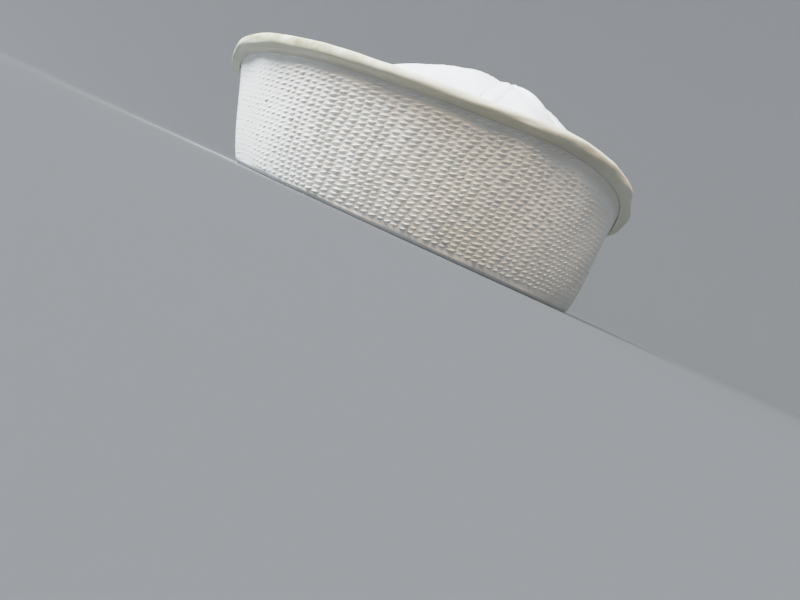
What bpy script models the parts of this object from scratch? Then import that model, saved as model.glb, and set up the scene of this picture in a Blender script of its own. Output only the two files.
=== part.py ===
"""A sailor cap of white cotton twill, standing on its bottom edge.

Metres, +Z up. The brow of the cap is towards -X and the wearer's left is towards -Y. The origin is on
the floor, under the middle of the whole cap. The brim is an outer and an inner ply with a rolled edge
on top, and the crown is six gores. Every section is drawn as distances outward from the head opening.
"""

import math

import bmesh
import bpy
from mathutils import Vector

# The head opening, measured inside.
HEAD_LENGTH = 0.196
HEAD_WIDTH = 0.166

# The cloth of each layer, and the gap kept between pieces that touch.
CROWN_CLOTH = 0.0012
INNER_CLOTH = 0.0012
OUTER_CLOTH = 0.0012
ROLL_CLOTH = 0.0014
GAP = 0.0003

# The turned-up brim, measured at the side of the head.
BAND_HEIGHT = 0.0588
BAND_BELLY = 0.0012
FOLD_RADIUS = 0.0016
ROLL_HEIGHT = 0.0114
ROLL_DEPTH = 0.0090

# The crown.
CROWN_HEIGHT = 0.101
CROWN_LEAN_BACK = 0.0165
LEAN_EASE = 1.5
GORE_PUFF = 0.0028
PUFF_EASE = 0.6
TIP_RADIUS = 0.0009

# How the brim changes from the brow (0 degrees) to the back (180 degrees), alike on both sides: the
# lean of the band, then its height, the roll's height and depth, and how far the roll hangs outward,
# as shares of BAND_HEIGHT, ROLL_HEIGHT, ROLL_DEPTH and ROLL_DEPTH.
BRIM_COLUMNS = ("azimuth_deg", "lean_deg", "band", "roll", "depth", "outset")
BRIM_ROWS = (
    (0, 20.5, 0.78, 1.25, 1.00, 0.17),
    (45, 17.0, 0.90, 1.12, 0.98, 0.18),
    (90, 12.0, 1.00, 1.00, 1.00, 0.18),
    (120, 9.5, 1.05, 0.98, 1.00, 0.20),
    (150, 5.5, 0.99, 0.96, 1.02, 0.17),
    (180, 2.0, 0.84, 1.06, 1.08, 0.16),
)

# Soft dents in the crown: where, as an azimuth and a share of the crown's height, then how wide and how
# deep, as shares of CROWN_HEIGHT.
DENT_COLUMNS = ("azimuth_deg", "height", "spread", "depth")
DENT_ROWS = (
    (50, 0.86, 0.12, 0.016),
    (118, 0.72, 0.15, 0.016),
    (232, 0.84, 0.17, 0.022),
    (300, 0.76, 0.20, 0.026),
)

# How the gores are laid out, and how finely everything is drawn.
GORES = 6
FIRST_SEAM_DEG = 26
STATIONS = 72
BAND_STEPS = 6
FOLD_STEPS = 3
ROLL_STEPS = 11
ROLL_SLIT_DEG = 8
GORE_COLUMNS = 10
GORE_ROWS = 10
SHARP_DEG = 50

# Layers at the bottom edge, counted outward from the head opening.
INNER_PLY_AT = CROWN_CLOTH + GAP
OUTER_PLY_AT = INNER_PLY_AT + INNER_CLOTH + GAP
STACK = OUTER_PLY_AT + OUTER_CLOTH
CROWN_FOOT = OUTER_CLOTH + GAP


def smooth(share):
    """0 up to 0, 1 from 1 on, with an easy start and end between."""
    held = min(max(share, 0.0), 1.0)
    return held * held * (3 - 2 * held)


def brim_value(column, azimuth):
    """A column of BRIM_ROWS at any azimuth in degrees, on a smooth curve through the rows."""
    index = BRIM_COLUMNS.index(column)
    turned = azimuth % 360
    at = min(turned, 360 - turned)
    known = [(row[0], row[index]) for row in BRIM_ROWS]
    known = [(-known[1][0], known[1][1])] + known + [(360 - known[-2][0], known[-2][1])]
    k = max(i for i in range(1, len(known) - 2) if known[i][0] <= at)
    (a0, v0), (a1, v1), (a2, v2), (a3, v3) = known[k - 1 : k + 3]
    share = (at - a1) / (a2 - a1)
    slope_1 = (v2 - v0) / (a2 - a0) * (a2 - a1)
    slope_2 = (v3 - v1) / (a3 - a1) * (a2 - a1)
    from_start = (1 + 2 * share) * (1 - share) ** 2
    from_end = share**2 * (3 - 2 * share)
    bend = share * (1 - share) ** 2 * slope_1 - share**2 * (1 - share) * slope_2
    return from_start * v1 + from_end * v2 + bend


def ring_point(azimuth, out, height):
    """The point that lies out from the head opening, square to its outline, at this height."""
    angle = math.radians(azimuth)
    half_length = HEAD_LENGTH / 2
    half_width = HEAD_WIDTH / 2
    edge = Vector((-half_length * math.cos(angle), -half_width * math.sin(angle), height))
    outward = Vector((-half_width * math.cos(angle), -half_length * math.sin(angle), 0)).normalized()
    return edge + out * outward


def band_top(azimuth):
    return BAND_HEIGHT * brim_value("band", azimuth)


def band_out(azimuth, height, depth):
    """How far out the band's cloth is at a height, at a depth under its outer face."""
    lean = math.radians(brim_value("lean_deg", azimuth))
    share = min(max(height / band_top(azimuth), 0.0), 1.0)
    belly = BAND_BELLY * 27 / 4 * share * (1 - share) ** 2
    return STACK + height * math.tan(lean) + belly - depth / math.cos(lean)


def band_side(azimuth, depth, foot, steps):
    """One face of the band from its foot to its top, as (out, height), cut square to the lean on top."""
    lean = math.radians(brim_value("lean_deg", azimuth))
    top = band_top(azimuth) + depth * math.sin(lean)
    heights = [foot + (top - foot) * step / steps for step in range(steps + 1)]
    return [(band_out(azimuth, height, depth), height) for height in heights]


def outer_ply_section(azimuth):
    """The outer cloth: the turned-in foot, the round fold it stands on, and the band above it."""
    fold = [(0.0, 0.0)]
    for step in range(FOLD_STEPS):
        turn = math.radians(90 * step / FOLD_STEPS)
        out = STACK - FOLD_RADIUS * (1 - math.sin(turn))
        fold.append((out, FOLD_RADIUS * (1 - math.cos(turn))))
    outside = band_side(azimuth, 0.0, FOLD_RADIUS, BAND_STEPS)
    inside = band_side(azimuth, OUTER_CLOTH, OUTER_CLOTH, BAND_STEPS)
    return fold + outside + inside[::-1] + [(0.0, OUTER_CLOTH)]


def inner_ply_section(azimuth):
    outside = band_side(azimuth, OUTER_CLOTH + GAP, CROWN_FOOT, BAND_STEPS)
    inside = band_side(azimuth, OUTER_CLOTH + GAP + INNER_CLOTH, CROWN_FOOT, BAND_STEPS)
    return outside + inside[::-1]


def roll_section(azimuth):
    """The rolled edge: a hollow oval of cloth, open in a slit where it sits down on the two plies."""
    lean = math.radians(brim_value("lean_deg", azimuth))
    half_height = ROLL_HEIGHT * brim_value("roll", azimuth) / 2
    half_depth = ROLL_DEPTH * brim_value("depth", azimuth) / 2
    outset = ROLL_DEPTH * brim_value("outset", azimuth)
    middle_of_plies = -(OUTER_CLOTH + GAP + INNER_CLOTH) / 2
    foot = (band_out(azimuth, band_top(azimuth), 0.0), band_top(azimuth))
    wall = []
    for within, order in ((0.0, 1), (ROLL_CLOTH, -1)):
        side = []
        for step in range(ROLL_STEPS + 1):
            turn = math.radians(ROLL_SLIT_DEG + (360 - 2 * ROLL_SLIT_DEG) * step / ROLL_STEPS)
            climb = GAP + half_height - (half_height - within) * math.cos(turn)
            hang = middle_of_plies + (outset - middle_of_plies) * smooth(climb / half_height)
            away = hang + (half_depth - within) * math.sin(turn)
            out = foot[0] + climb * math.sin(lean) + away * math.cos(lean)
            side.append((out, foot[1] + climb * math.cos(lean) - away * math.sin(lean)))
        wall += side[::order]
    return wall


def dome(azimuth, climb):
    """A point of the crown's inner face before puffs and dents. Climb is 0 at the foot, 1 at the tip."""
    angle = math.radians(azimuth)
    slope = climb * math.pi / 2
    rise = CROWN_HEIGHT - CROWN_CLOTH - CROWN_FOOT
    back = CROWN_LEAN_BACK * math.sin(slope) ** LEAN_EASE
    x = back - HEAD_LENGTH / 2 * math.cos(slope) * math.cos(angle)
    y = -HEAD_WIDTH / 2 * math.cos(slope) * math.sin(angle)
    return Vector((x, y, CROWN_FOOT + rise * math.sin(slope)))


def dome_normal(azimuth, climb):
    """Straight out of the plain dome, found from two short steps along it."""
    step = 0.001
    held = min(max(climb, 4 * step), 1 - 4 * step)
    around = dome(azimuth + step * 90, held) - dome(azimuth - step * 90, held)
    upward = dome(azimuth, held + step) - dome(azimuth, held - step)
    normal = around.cross(upward).normalized()
    return normal if normal.dot(dome(azimuth, held) - dome(0, 1) * 0.5) > 0 else -normal


def dent_depth(point):
    total = 0.0
    for row in DENT_ROWS:
        dent = dict(zip(DENT_COLUMNS, row))
        middle = dome(dent["azimuth_deg"], math.asin(dent["height"]) * 2 / math.pi)
        away = (point - middle).length / (dent["spread"] * CROWN_HEIGHT)
        total += dent["depth"] * CROWN_HEIGHT * math.exp(-away * away)
    return total


def gore_grids(gore):
    """The inner and the outer face of one gore, as rows of points from its foot to its tip."""
    first = FIRST_SEAM_DEG + gore * 360 / GORES
    tip_climb = 1 - TIP_RADIUS * 4 / (HEAD_LENGTH + HEAD_WIDTH) * 2 / math.pi
    inner = []
    outer = []
    for row in range(GORE_ROWS + 1):
        climb = tip_climb * row / GORE_ROWS
        slope = climb * math.pi / 2
        fullness = math.sin(2 * slope) ** PUFF_EASE
        inner.append([])
        outer.append([])
        for column in range(GORE_COLUMNS + 1):
            across = column / GORE_COLUMNS
            azimuth = first + across * 360 / GORES
            edge_speed = (dome(azimuth + 1, climb) - dome(azimuth - 1, climb)).length / 2
            azimuth += (1 - 2 * across) * GAP / 2 / edge_speed
            normal = dome_normal(azimuth, climb)
            puff = GORE_PUFF * fullness * math.sin(math.pi * across)
            base = dome(azimuth, climb)
            point = base + normal * (puff - dent_depth(base))
            inner[-1].append(point)
            outer[-1].append(point + normal * CROWN_CLOTH)
    return inner, outer


def finished_object(name, mesh_data, look, parent):
    """Faces out, smooth shading with crisp cut edges, one material, hung on the parent."""
    bmesh.ops.recalc_face_normals(mesh_data, faces=mesh_data.faces)
    mesh = bpy.data.meshes.new(name)
    mesh_data.to_mesh(mesh)
    mesh_data.free()
    mesh.shade_smooth()
    mesh.set_sharp_from_angle(angle=math.radians(SHARP_DEG))
    mesh.materials.append(look)
    piece = bpy.data.objects.new(name, mesh)
    piece.parent = parent
    bpy.context.scene.collection.objects.link(piece)
    return piece


def ring_piece(name, section, look, parent):
    """Lofts a closed section around the head opening, one copy at every station."""
    mesh_data = bmesh.new()
    loops = []
    for station in range(STATIONS):
        azimuth = station * 360 / STATIONS
        points = [ring_point(azimuth, out, height) for out, height in section(azimuth)]
        loops.append([mesh_data.verts.new(point) for point in points])
    for here, there in zip(loops, loops[1:] + loops[:1]):
        for k in range(len(here)):
            mesh_data.faces.new((here[k - 1], here[k], there[k], there[k - 1]))
    return finished_object(name, mesh_data, look, parent)


def gore_piece(gore, look, parent):
    """Two faces of cloth joined along their four edges."""
    mesh_data = bmesh.new()
    sides = []
    for grid in gore_grids(gore):
        sides.append([[mesh_data.verts.new(point) for point in row] for row in grid])
    for side in sides:
        for low, high in zip(side, side[1:]):
            for k in range(GORE_COLUMNS):
                mesh_data.faces.new((low[k], low[k + 1], high[k + 1], high[k]))
    edges = []
    for side in sides:
        right = [row[-1] for row in side[1:-1]]
        left = [row[0] for row in side[1:-1]]
        edges.append(side[0] + right + side[-1][::-1] + left[::-1])
    for k in range(len(edges[0])):
        mesh_data.faces.new((edges[0][k - 1], edges[0][k], edges[1][k], edges[1][k - 1]))
    return finished_object(f"crown_gore_{gore + 1}", mesh_data, look, parent)


def cotton(name, colour, roughness):
    look = bpy.data.materials.new(name)
    look.use_nodes = True
    shader = look.node_tree.nodes["Principled BSDF"]
    shader.inputs["Base Color"].default_value = (*colour, 1.0)
    shader.inputs["Roughness"].default_value = roughness
    shader.inputs["Metallic"].default_value = 0.0
    return look


def opening_offset():
    """How far behind the middle of the whole cap the middle of the head opening lies."""
    brow_reach = max(out for out, height in roll_section(0))
    back_reach = max(out for out, height in roll_section(180))
    return (brow_reach - back_reach) / 2


def main():
    for old in list(bpy.data.objects):
        bpy.data.objects.remove(old)
    opening = bpy.data.objects.new("head_opening", None)
    opening.location = (opening_offset(), 0.0, 0.0)
    bpy.context.scene.collection.objects.link(opening)

    stitched = cotton("stitched twill", (0.74, 0.76, 0.74), 0.85)
    facing = cotton("facing twill", (0.72, 0.73, 0.70), 0.88)
    rolled = cotton("rolled edge twill", (0.66, 0.66, 0.58), 0.85)
    crown = cotton("crown twill", (0.82, 0.85, 0.86), 0.82)

    ring_piece("brim_outer_ply", outer_ply_section, stitched, opening)
    ring_piece("brim_inner_ply", inner_ply_section, facing, opening)
    ring_piece("brim_rolled_edge", roll_section, rolled, opening)
    for gore in range(GORES):
        gore_piece(gore, crown, opening)


main()
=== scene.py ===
# %% [markdown]
# A white cotton sailor cap, dressed around its imported frame
#
# The real cap is sewn from bleached cotton twill. A round crown of six panels sits in a deep brim that
# is turned up all round. The brim is two cloths held together by close rows of stitching, and its edge
# is rolled over and left soft. This lesson builds each cloth as a fine mesh in the place of its plain
# solid, then gives it a woven finish, and last sets a pale studio around it.
#
# We start with the frame. Every piece below takes its place from it, and its box is kept.

import math

import bpy
import numpy as np
from mathutils import Matrix, Vector


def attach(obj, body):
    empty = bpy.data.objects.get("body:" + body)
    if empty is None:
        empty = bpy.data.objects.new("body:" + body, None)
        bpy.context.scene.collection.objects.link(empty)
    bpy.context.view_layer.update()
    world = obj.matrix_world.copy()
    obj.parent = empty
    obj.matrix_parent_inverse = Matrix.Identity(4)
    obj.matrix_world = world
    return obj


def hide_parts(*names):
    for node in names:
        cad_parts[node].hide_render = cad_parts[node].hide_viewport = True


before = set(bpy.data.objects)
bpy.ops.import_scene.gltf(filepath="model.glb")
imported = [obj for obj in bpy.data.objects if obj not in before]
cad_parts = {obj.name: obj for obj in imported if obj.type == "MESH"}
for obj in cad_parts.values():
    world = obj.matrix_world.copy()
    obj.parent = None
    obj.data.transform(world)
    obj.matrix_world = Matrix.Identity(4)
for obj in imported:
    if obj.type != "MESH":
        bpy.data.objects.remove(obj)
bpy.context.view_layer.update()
print("frame nodes:", ", ".join(sorted(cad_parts)))

# %% [markdown]
# The camera comes first
#
# In the picture the cap is seen from the wearer's left, with the brow to the left and the whole cap
# tipped back. Here the cap stands flat on the floor, so the camera rolls by the same angle instead. It
# stays just above the floor, level with the bottom edge.

# %% Place the camera
ROLL_DEG = 24.67
LENS_MM = 35.9
CAMERA_AT = Vector((0.0169, -0.460, 0.003))
AIM_AT = Vector((0.0228, 0.0, -0.0330))

roll = math.radians(ROLL_DEG)
ahead = (AIM_AT - CAMERA_AT).normalized()
right = Vector((math.cos(roll), 0, math.sin(roll)))
right = (right - ahead * right.dot(ahead)).normalized()
above = right.cross(ahead)
camera_data = bpy.data.cameras.new("camera")
camera_data.lens = LENS_MM
camera_data.clip_start = 0.001
camera = bpy.data.objects.new("camera", camera_data)
camera.matrix_world = Matrix.Translation(CAMERA_AT) @ Matrix((right, above, -ahead)).transposed().to_4x4()
bpy.context.scene.collection.objects.link(camera)
bpy.context.scene.camera = camera
print("camera looks down by", round(math.degrees(math.asin(-ahead.z)), 1), "degrees")

# %% [markdown]
# The shape of the brim
#
# The brim is a band around an oval head opening. It leans outward, more at the brow than at the back,
# and it is taller at the sides. A short table holds that, and a smooth curve runs through its rows. With
# it we can ask for any point of the band: how far round, how far up the cloth, and how far off its face.

# %% Repeat the brim's sizes and find its middle in the frame
HEAD_LENGTH = 0.196
HEAD_WIDTH = 0.166
CLOTH = 0.0012
GAP = 0.0003
STACK = 3 * CLOTH + 2 * GAP
FACING_DEPTH = 2 * CLOTH + GAP
BAND_HEIGHT = 0.0588
BAND_BELLY = 0.0012
FOLD_RADIUS = 0.0016
ROLL_HEIGHT = 0.0114
ROLL_DEPTH = 0.0090
ROLL_CLOTH = 0.0014
ROLL_RISE = 0.0050
BACK_RISE = 0.0026
# How far the hanging roll reaches from the brow and from the back, and where behind the ears the brim
# stands highest, with the spread of that.
BROW_HANG_DEG = 13
BACK_HANG_DEG = 16
TALLEST_DEG = 132
TALL_SPREAD_DEG = 30
BRIM_COLUMNS = ("azimuth_deg", "lean_deg", "band", "roll", "depth", "outset")
BRIM_ROWS = (
    (0, 20.5, 0.78, 1.25, 1.00, 0.17),
    (45, 17.0, 0.90, 1.12, 0.98, 0.18),
    (90, 12.0, 1.00, 1.00, 1.00, 0.18),
    (120, 9.5, 1.05, 0.98, 1.00, 0.20),
    (150, 5.5, 0.99, 0.96, 1.02, 0.17),
    (180, 2.0, 0.84, 1.06, 1.08, 0.16),
)

foot_x = [v.co.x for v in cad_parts["brim_outer_ply"].data.vertices if v.co.z < GAP]
OPENING_X = (min(foot_x) + max(foot_x)) / 2
print("the head opening's middle is at x =", round(1000 * OPENING_X, 2), "mm")


def smooth(share):
    """0 up to 0, 1 from 1 on, with an easy start and end between."""
    held = np.clip(share, 0.0, 1.0)
    return held * held * (3 - 2 * held)


def folded(azimuth):
    """Degrees from the brow, 0 to 180, the same on both sides."""
    turned = np.asarray(azimuth, float) % 360
    return np.minimum(turned, 360 - turned)


def brim_value(column, azimuth):
    """A column of BRIM_ROWS at any azimuth, on a smooth curve through the rows."""
    table = np.array(BRIM_ROWS, float)
    at = table[:, 0]
    value = table[:, BRIM_COLUMNS.index(column)]
    at = np.concatenate(([-at[1]], at, [360 - at[-2]]))
    value = np.concatenate(([value[1]], value, [value[-2]]))
    turned = folded(azimuth)
    k = np.clip(np.searchsorted(at, turned, side="right") - 1, 1, len(at) - 3)
    span = at[k + 1] - at[k]
    share = (turned - at[k]) / span
    slope_1 = (value[k + 1] - value[k - 1]) / (at[k + 1] - at[k - 1]) * span
    slope_2 = (value[k + 2] - value[k]) / (at[k + 2] - at[k]) * span
    bend = share * (1 - share) ** 2 * slope_1 - share**2 * (1 - share) * slope_2
    return (1 + 2 * share) * (1 - share) ** 2 * value[k] + share**2 * (3 - 2 * share) * value[k + 1] + bend


def ring_point(azimuth, out, height):
    """Points that lie out from the head opening, square to its outline, at a height."""
    angle = np.radians(azimuth)
    cos, sin = np.cos(angle), np.sin(angle)
    half_length, half_width = HEAD_LENGTH / 2, HEAD_WIDTH / 2
    size = np.hypot(half_width * cos, half_length * sin)
    x = OPENING_X - half_length * cos - out * half_width * cos / size
    y = -half_width * sin - out * half_length * sin / size
    return np.stack(np.broadcast_arrays(x, y, height), -1)


def ply_top(azimuth):
    """The height of the frame's plain plies."""
    return BAND_HEIGHT * brim_value("band", azimuth)


def lean_cos(azimuth):
    return np.cos(np.radians(brim_value("lean_deg", azimuth)))


def drooped(azimuth):
    """1 at the brow and at the back, where the roll hangs over, and 0 along the sides."""
    off_front = folded(azimuth) / BROW_HANG_DEG
    off_back = (180 - folded(azimuth)) / BACK_HANG_DEG
    return np.exp(-(off_front**2)) + np.exp(-(off_back**2))


def towards_back(azimuth):
    """1 behind the ears, where the brim stands a little higher, and 0 at the brow."""
    return np.exp(-(((folded(azimuth) - TALLEST_DEG) / TALL_SPREAD_DEG) ** 2))


def roll_rise(azimuth):
    """How far the two cloths run on flat above the plain plies before they turn into the roll."""
    return ROLL_RISE * (1 - drooped(azimuth)) + BACK_RISE * towards_back(azimuth)


def band_top(azimuth):
    return ply_top(azimuth) + roll_rise(azimuth) * lean_cos(azimuth)


def band_out(azimuth, height):
    """How far out the band's outer face is at a height."""
    share = np.clip(height / ply_top(azimuth), 0.0, 1.0)
    # 27 / 4 brings the top of the curve to 1, so the hump is as high as BAND_BELLY.
    belly = BAND_BELLY * 27 / 4 * share * (1 - share) ** 2
    return STACK + height * np.tan(np.radians(brim_value("lean_deg", azimuth))) + belly


def band_point(azimuth, height, lift=0.0):
    """Points on the band's outer face, or lifted square off it."""
    step = 0.0002
    slope = (band_out(azimuth, height + step) - band_out(azimuth, height - step)) / (2 * step)
    size = np.sqrt(1 + slope * slope)
    return ring_point(azimuth, band_out(azimuth, height) + lift / size, height - lift * slope / size)


# %% Measure how well the formulas meet the frame
station = np.arange(0, 360, 5.0)
corners = band_point(station, ply_top(station) * 0.5)
node_points = np.array([v.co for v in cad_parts["brim_outer_ply"].data.vertices])
miss = max(float(np.linalg.norm(node_points - corner, axis=1).min()) for corner in corners)
print("the band's formula passes the frame's own points within", round(1000 * miss, 3), "mm")

# %% [markdown]
# Cloth is never quite even
#
# A machine row wanders a little, and cloth that was washed and folded is wavy. One helper makes such
# unevenness: a few sine waves added up, each with a whole number of waves around the cap, so that the
# pattern closes on itself. The seed fixes it, so the cap is the same on each run.


# %% A smooth uneven wave around the cap
def uneven(azimuth, climb, seed, turns, rises, waves=7):
    """About -1 to 1. Turns is the range of waves around, rises the most waves for each metre up."""
    draw = np.random.default_rng(seed)
    total = 0.0
    for _ in range(waves):
        around = int(draw.integers(turns[0], turns[1] + 1))
        upward = draw.uniform(-rises, rises)
        total = total + np.sin(np.radians(azimuth) * around + 2 * np.pi * (upward * climb + draw.random()))
    return total / math.sqrt(waves)


# %% [markdown]
# Rows of stitching
#
# What the eye reads as texture on this brim is a quilting pattern. More than twenty rows of lockstitch
# run round it, 2.5 mm apart, with a stitch of 4.4 mm. Along each row the cloth stands up in a low ridge,
# and each stitch cuts the ridge aslant, so the face is covered in small slanted pillows. The rows end
# below a plain strip under the rolled edge, and one more row on its own runs close under the roll.
#
# Two numbers describe any spot on the cloth: the row phase, which is whole on a row, and the stitch
# phase, which is whole at a needle hole. The relief is a few cosines of the two. It fades at the brow,
# where the cloth is pulled tight, and behind the ears.

# %% Find the row phase and the stitch phase anywhere on the band
ROW_SPACING = 0.0025
STITCH = 0.0044
ROW_SLIP = 0.10
FIRST_ROW_FRONT = 0.0032
FIRST_ROW_BACK = 0.0058
PLAIN_STRIP_FRONT = 0.0036
PLAIN_STRIP_BACK = 0.0054
SINGLE_ROW = 0.0023
# Rows and stitches stray slowly and jitter quickly, as shares of a row spacing and of a stitch.
ROW_WANDER = 0.14
ROW_JITTER = 0.05
STITCH_WANDER = 0.26
STITCH_JITTER = 0.09
# Where the first row and the plain strip change from their front size to their back one.
FIRST_ROW_EASE_DEG = 150
STRIP_FROM_DEG = 60
STRIP_EASE_DEG = 60

fine = np.linspace(0, 360, 2881)
middle_line = ring_point(fine, band_out(fine, BAND_HEIGHT / 2), 0.0)
steps = np.linalg.norm(np.diff(middle_line, axis=0), axis=1)
travelled = np.concatenate(([0.0], np.cumsum(steps)))
ROUND_LENGTH = travelled[-1]
STITCHES_ROUND = round(ROUND_LENGTH / STITCH)


def cloth_top(azimuth):
    """The band's height along the cloth."""
    return band_top(azimuth) / lean_cos(azimuth)


def first_row(azimuth):
    backed = smooth(folded(azimuth) / FIRST_ROW_EASE_DEG)
    return FIRST_ROW_FRONT + (FIRST_ROW_BACK - FIRST_ROW_FRONT) * backed


def plain_strip(azimuth):
    """How much cloth stays free of the close rows, down from the band's top."""
    backed = smooth((folded(azimuth) - STRIP_FROM_DEG) / STRIP_EASE_DEG)
    return PLAIN_STRIP_FRONT + (PLAIN_STRIP_BACK - PLAIN_STRIP_FRONT) * backed


def row_wander(azimuth, up):
    """How far a row strays from its even course, as a share of the row spacing."""
    slow = uneven(azimuth, up, 11, (2, 14), 12)
    quick = uneven(azimuth, up, 16, (25, 80), 60)
    return ROW_WANDER * slow + ROW_JITTER * quick


def row_phase(azimuth, up):
    return (up - first_row(azimuth)) / ROW_SPACING + row_wander(azimuth, up)


def stitch_phase(azimuth, up):
    even = STITCHES_ROUND * np.interp(azimuth, fine, travelled / ROUND_LENGTH)
    slow = uneven(azimuth, up, 12, (3, 22), 45)
    quick = uneven(azimuth, up, 17, (25, 60), 180)
    strayed = STITCH_WANDER * slow + STITCH_JITTER * quick
    return even - ROW_SLIP * row_phase(azimuth, up) + strayed


def quilted(azimuth, up):
    """1 where the close rows are, 0 on the plain strips above and below them."""
    below_strip = smooth((cloth_top(azimuth) - plain_strip(azimuth) - up) / ROW_SPACING + 0.5)
    above_fold = smooth(row_phase(azimuth, up) + 1.0)
    return below_strip * above_fold


print("stitches in each row:", STITCHES_ROUND, "and round the band:", round(1000 * ROUND_LENGTH), "mm")

# %% The relief of the quilted cloth
ROW_RELIEF = 0.00015
SLANT_RELIEF = 0.00022
FINE_RELIEF = 0.00019
SINGLE_RELIEF = 0.00014
SINGLE_WIDTH = 0.0007
SINGLE_GATHER = 0.25
BROW_RELIEF = 0.15
BACK_FADE = 0.80
PATCHY = 0.22
FLECKED = 0.40
WAVE_RELIEF = 0.00020
WAVE_EASE = 0.005
# The quilting rises behind the brow and fades behind the ears.
QUILT_FROM_DEG = 28
QUILT_EASE_DEG = 46
FADE_FROM_DEG = 102
FADE_EASE_DEG = 45
# The relief starts within the lowest fortieth of each face.
RELIEF_START = 40


def off_brow(azimuth):
    """0 at the brow, where the quilting is pulled flat, 1 along the sides, and less at the back."""
    risen = smooth((folded(azimuth) - QUILT_FROM_DEG) / QUILT_EASE_DEG)
    faded = smooth((folded(azimuth) - FADE_FROM_DEG) / FADE_EASE_DEG)
    return risen * (1 - BACK_FADE * faded)


def pillow_relief(azimuth, up):
    """How far stitching lifts or pulls the cloth: slanted ridges along the rows, valleys between them."""
    rows = 2 * np.pi * row_phase(azimuth, up)
    holes = 2 * np.pi * stitch_phase(azimuth, up)
    pillow = ROW_RELIEF * np.cos(rows) - SLANT_RELIEF * np.cos(holes - rows)
    pillow = pillow - FINE_RELIEF * np.cos(holes - 2 * rows)
    strength = 1 + PATCHY * uneven(azimuth, up, 13, (5, 40), 60)
    strength = strength + FLECKED * uneven(azimuth, up, 15, (40, 130), 200)
    strength = strength * (BROW_RELIEF + (1 - BROW_RELIEF) * off_brow(azimuth))
    from_single = (cloth_top(azimuth) - SINGLE_ROW - up) / SINGLE_WIDTH
    gathered = 1 - SINGLE_GATHER + SINGLE_GATHER * np.cos(holes)
    single = -SINGLE_RELIEF * np.exp(-(from_single**2)) * gathered
    return pillow * strength * quilted(azimuth, up) + single


def washed_wave(azimuth, up):
    """The slow waves that washing leaves in the cloth."""
    sewn_down = smooth((cloth_top(azimuth) - up) / WAVE_EASE)
    return WAVE_RELIEF * sewn_down * uneven(azimuth, up, 14, (4, 16), 20)


def quilt_relief(azimuth, up):
    return pillow_relief(azimuth, up) + washed_wave(azimuth, up)


# %% [markdown]
# From numbers to cloth meshes
#
# Each brim cloth is a closed section swept round the head opening. The mesh is a grid: a row for each
# point of the section, a column for each step round the cap. The columns are spaced evenly along the
# cloth. The grid also gets a map in real metres, along and up the cloth, which the weave needs later.


# %% Turn a closed grid into a mesh
def even_columns(count):
    """Azimuths of the columns, evenly spaced along the cloth, with the first one again at the end."""
    return np.interp(np.linspace(0, ROUND_LENGTH, count + 1), travelled, fine)


def outward_quads(points, quads):
    """The faces, turned so that the closed mesh has its outside out."""
    a, b, c, d = (points[quads[:, k]] for k in range(4))
    volume = np.einsum("ij,ij->i", a, np.cross(b, c) + np.cross(c, d)).sum()
    return quads if volume > 0 else quads[:, ::-1]


def link_mesh(name, points, faces, cloth_map=None, **marks):
    """A smooth shaded object. Cloth_map holds the weave's metres at each point, marks a value at each."""
    mesh = bpy.data.meshes.new(name)
    mesh.from_pydata(points.tolist(), [], faces.tolist() if hasattr(faces, "tolist") else faces)
    mesh.shade_smooth()
    if cloth_map is not None:
        loops = np.empty(len(mesh.loops), int)
        mesh.loops.foreach_get("vertex_index", loops)
        corner = cloth_map[loops]
        first = np.repeat(corner[::4], 4, axis=0)
        corner[:, 0] += ROUND_LENGTH * np.round((first[:, 0] - corner[:, 0]) / ROUND_LENGTH)
        mesh.uv_layers.new(name="weave").uv.foreach_set("vector", corner.astype(np.float32).ravel())
    for mark, values in marks.items():
        mesh.attributes.new(mark, "FLOAT", "POINT").data.foreach_set("value", values.astype(np.float32))
    piece = bpy.data.objects.new(name, mesh)
    bpy.context.scene.collection.objects.link(piece)
    triangles = sum(len(polygon.vertices) - 2 for polygon in mesh.polygons)
    print(f"{name}: {triangles} triangles")
    return piece


def swept_cloth(name, points, **marks):
    """A closed section (rows) swept round the cap (columns) as one cloth."""
    rows, columns = points.shape[:2]
    index = np.arange(rows * columns).reshape(rows, columns)
    over, beside = np.roll(index, -1, 0), np.roll(index, -1, 1)
    quads = np.stack((index, beside, np.roll(over, -1, 1), over), -1).reshape(-1, 4)
    flat = points.reshape(-1, 3)
    quads = outward_quads(flat, quads)
    risen = np.linalg.norm(np.diff(points, axis=0), axis=2).cumsum(0)
    risen = np.vstack((np.zeros((1, columns)), risen))
    along = np.broadcast_to(np.arange(columns) * ROUND_LENGTH / columns, (rows, columns))
    cloth_map = np.stack((along, risen), -1).reshape(-1, 2)
    return link_mesh(name, flat, quads, cloth_map, **{k: v.ravel() for k, v in marks.items()})


def put_on(piece, slot, look, *nodes):
    """The piece rides with the cap, stands for its plain solids and takes its finish."""
    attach(piece, "root")
    if nodes:
        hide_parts(*nodes)
    piece.data.materials.append(look)
    return piece


# %% [markdown]
# The finish: bleached cotton twill
#
# All the cloth is the same: cotton twill, woven and bleached. To the eye that is a matt white with a
# faint diagonal rib, a little fuzz that catches light at the edges, and soft grey or cream where hands
# and dust have been. The low spots get painted shade, a greyer colour where shade falls. So each look
# starts from one recipe and changes only colour, painted shade and soil. Cotton has an IOR of about
# 1.53 and no metal in it, and a woven face is very rough.
#
# The real rib is about 0.5 mm apart. That is too fine to show at this size, so it is drawn at 0.9 mm.
# For the same reason the yarns' fuzz is drawn at 0.7 mm, where a real yarn is about 0.3 mm thick.

# %% One helper for nodes, one for colours
TWILL_RIB = 0.0009
TWILL_SLOPE = 1.3
THREAD_STEP = 0.0007
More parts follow.
